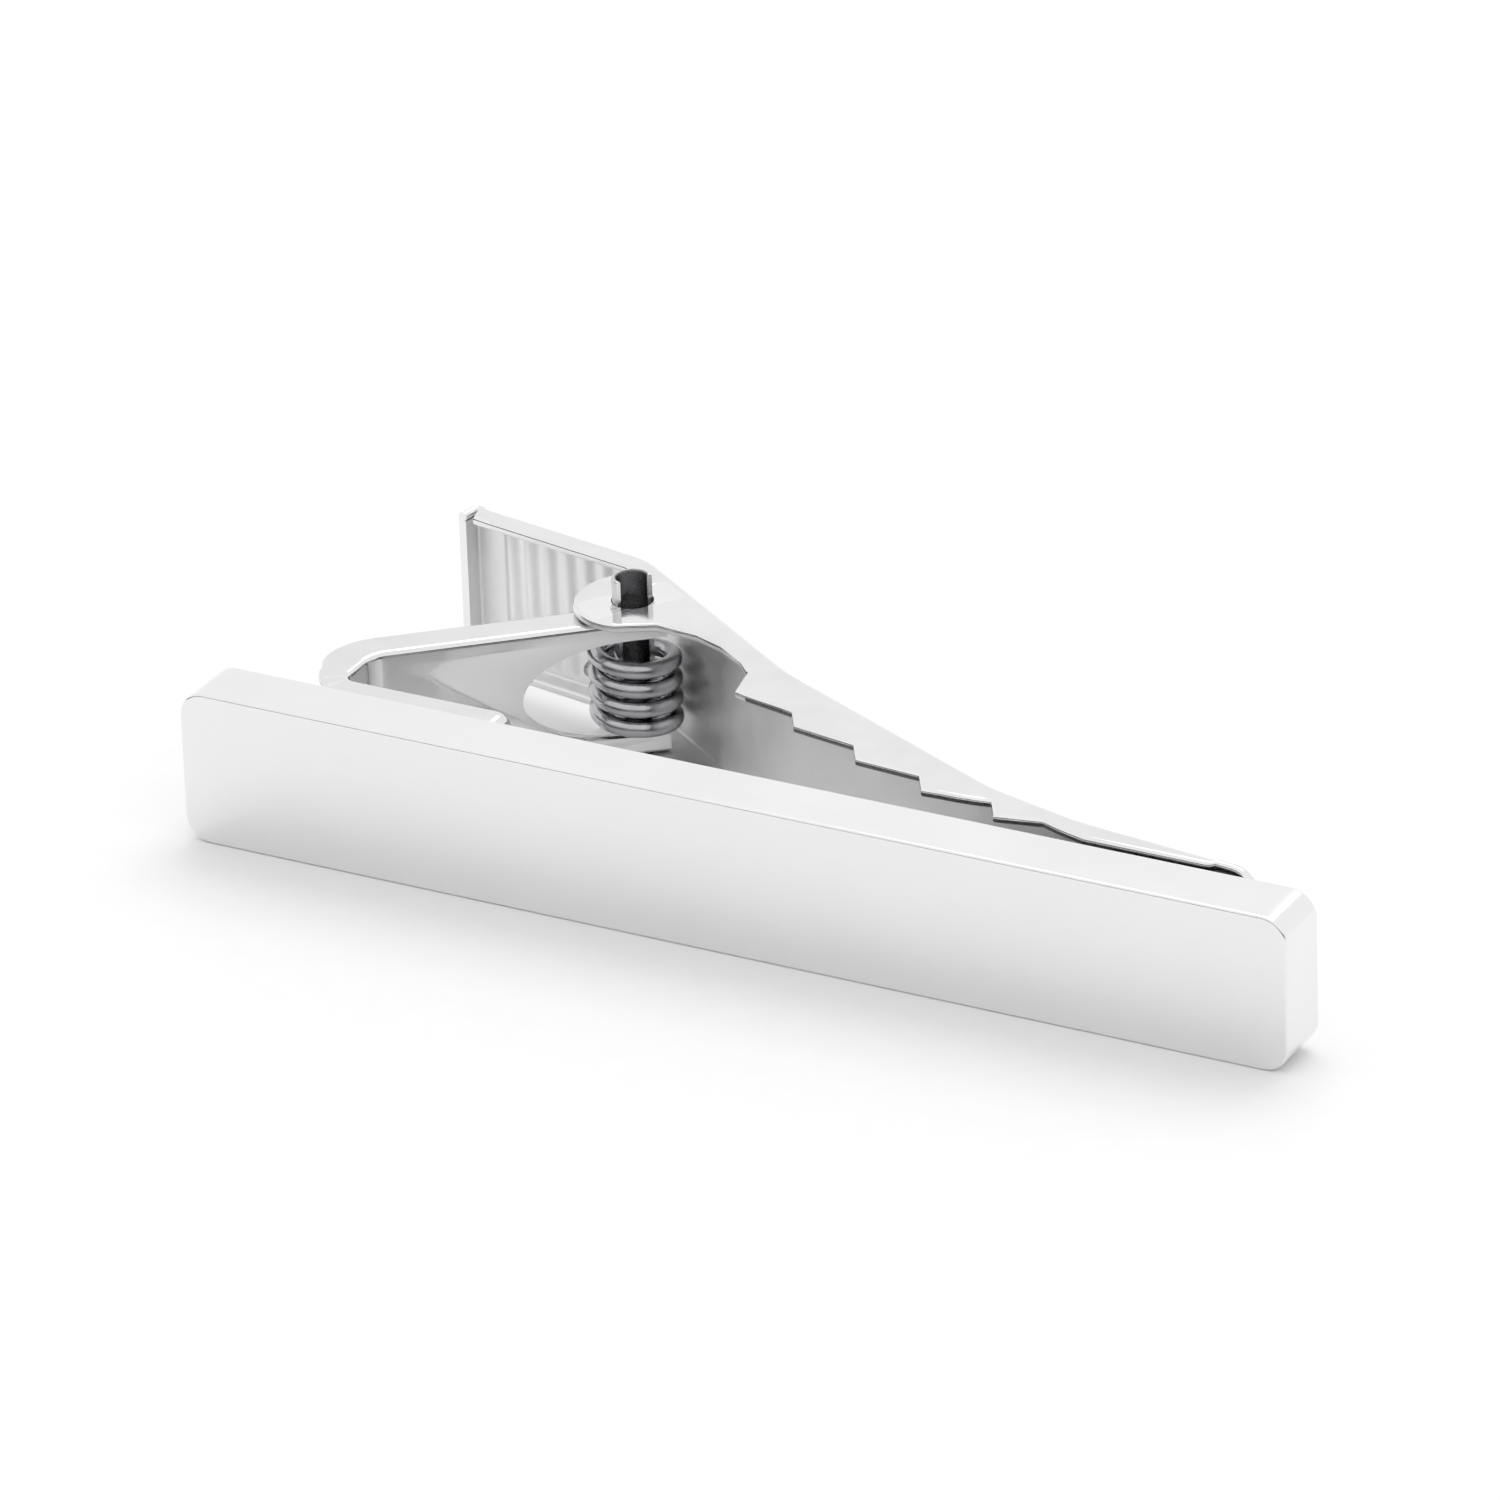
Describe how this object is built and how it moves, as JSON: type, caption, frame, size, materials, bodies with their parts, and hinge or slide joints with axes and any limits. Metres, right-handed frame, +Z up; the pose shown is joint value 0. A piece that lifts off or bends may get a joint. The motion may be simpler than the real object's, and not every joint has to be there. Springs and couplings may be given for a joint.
{
  "type": "tie clip",
  "caption": "Tie clip: a slim polished bar with a bent bracket on its back and a sprung, toothed alligator jaw worked by a ribbed thumb tab.",
  "frame": {"origin": "bottom centre of the closed clip's box, as it rests on a table on the bar's lower front edge and the hinge pin's lower end", "axes": "+X along the bar from the bend toward the jaw's tip, -Y out of the bar's front face (which leans 3.8 degrees forward), +Z up"},
  "size_m": [0.0444, 0.0184, 0.008],
  "materials": {
    "bar_plating": "mirror polished rhodium-tone plating over brass",
    "bracket_plating": "bright plating over pressed sheet",
    "jaw_plating": "bright plating over pressed sheet",
    "pin_steel": "rolled strip",
    "spring_steel": "drawn spring wire",
    "solder": "silver solder"
  },
  "bodies": {
    "bar_and_bracket": {"front_bar": "bar_plating", "base_bracket": "bracket_plating", "hinge_pin": "pin_steel", "torsion_spring": "spring_steel", "solder_bond": "solder"},
    "jaw": {"jaw_lever": "jaw_plating"}
  },
  "joints": [
    {"name": "jaw_pivot", "type": "hinge", "parent": "bar_and_bracket", "child": "jaw", "pos_m": [-0.01055, 0.00405, 0.00386], "axis": [0, -0.0663, 0.9978], "range_deg": [0, 50], "stiffness_Nm_per_rad": 0.02, "springref_deg": -45.84, "deforming": ["torsion_spring"]}
  ]
}
